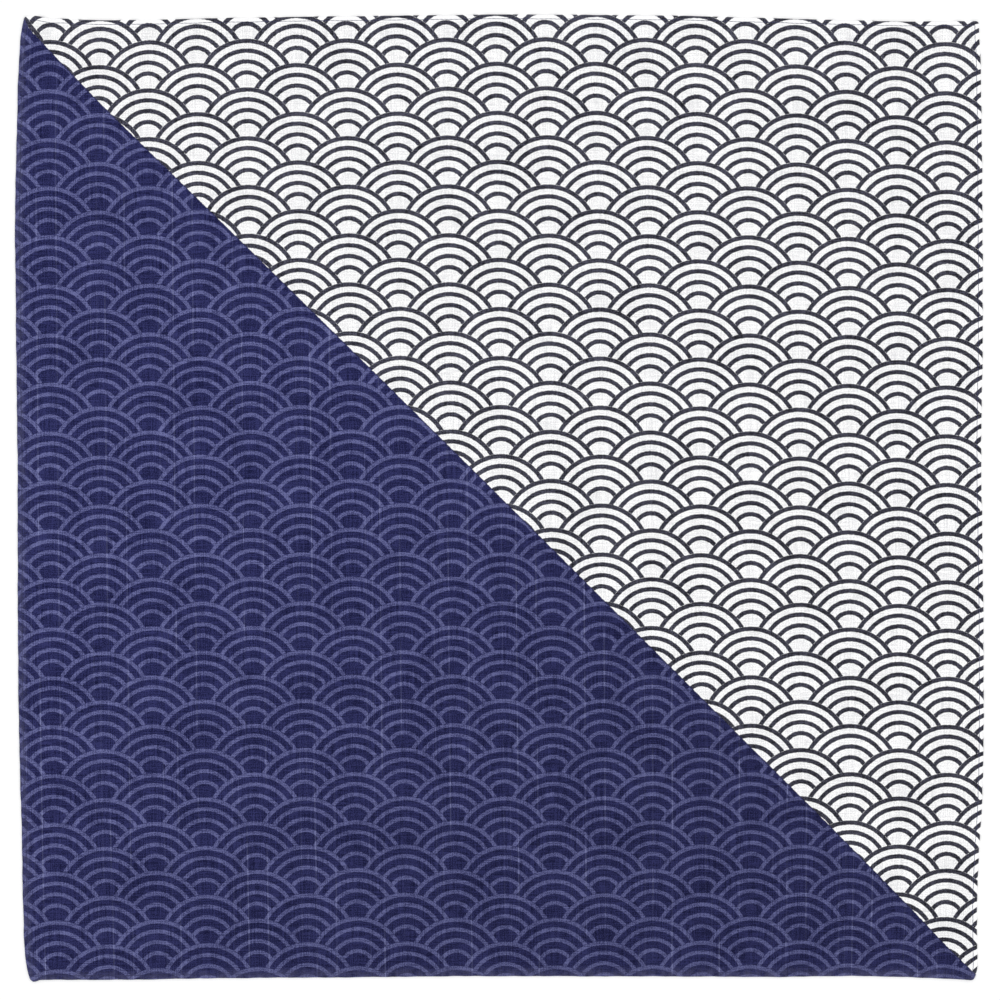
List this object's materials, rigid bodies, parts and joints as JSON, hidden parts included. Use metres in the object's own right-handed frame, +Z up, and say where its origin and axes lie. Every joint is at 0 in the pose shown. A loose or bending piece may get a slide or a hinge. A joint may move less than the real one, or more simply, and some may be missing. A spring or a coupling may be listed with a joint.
{
  "type": "furoshiki",
  "caption": "Square cotton wrapping cloth laid flat, split on the diagonal into a white and a navy ground, with a traditional overlapping wave print and narrow hems.",
  "frame": {"origin": "on the surface that the cloth lies on, under the middle of its outline", "axes": "+Z up through the cloth's printed face, +X towards the right edge and +Y towards the top edge as the print is read"},
  "size_m": [0.5028, 0.5012, 0.0016],
  "materials": {
    "printed_cotton": "matt printed cotton with a slubbed plain weave"
  },
  "bodies": {
    "root": {"cloth": "printed_cotton"}
  },
  "joints": []
}
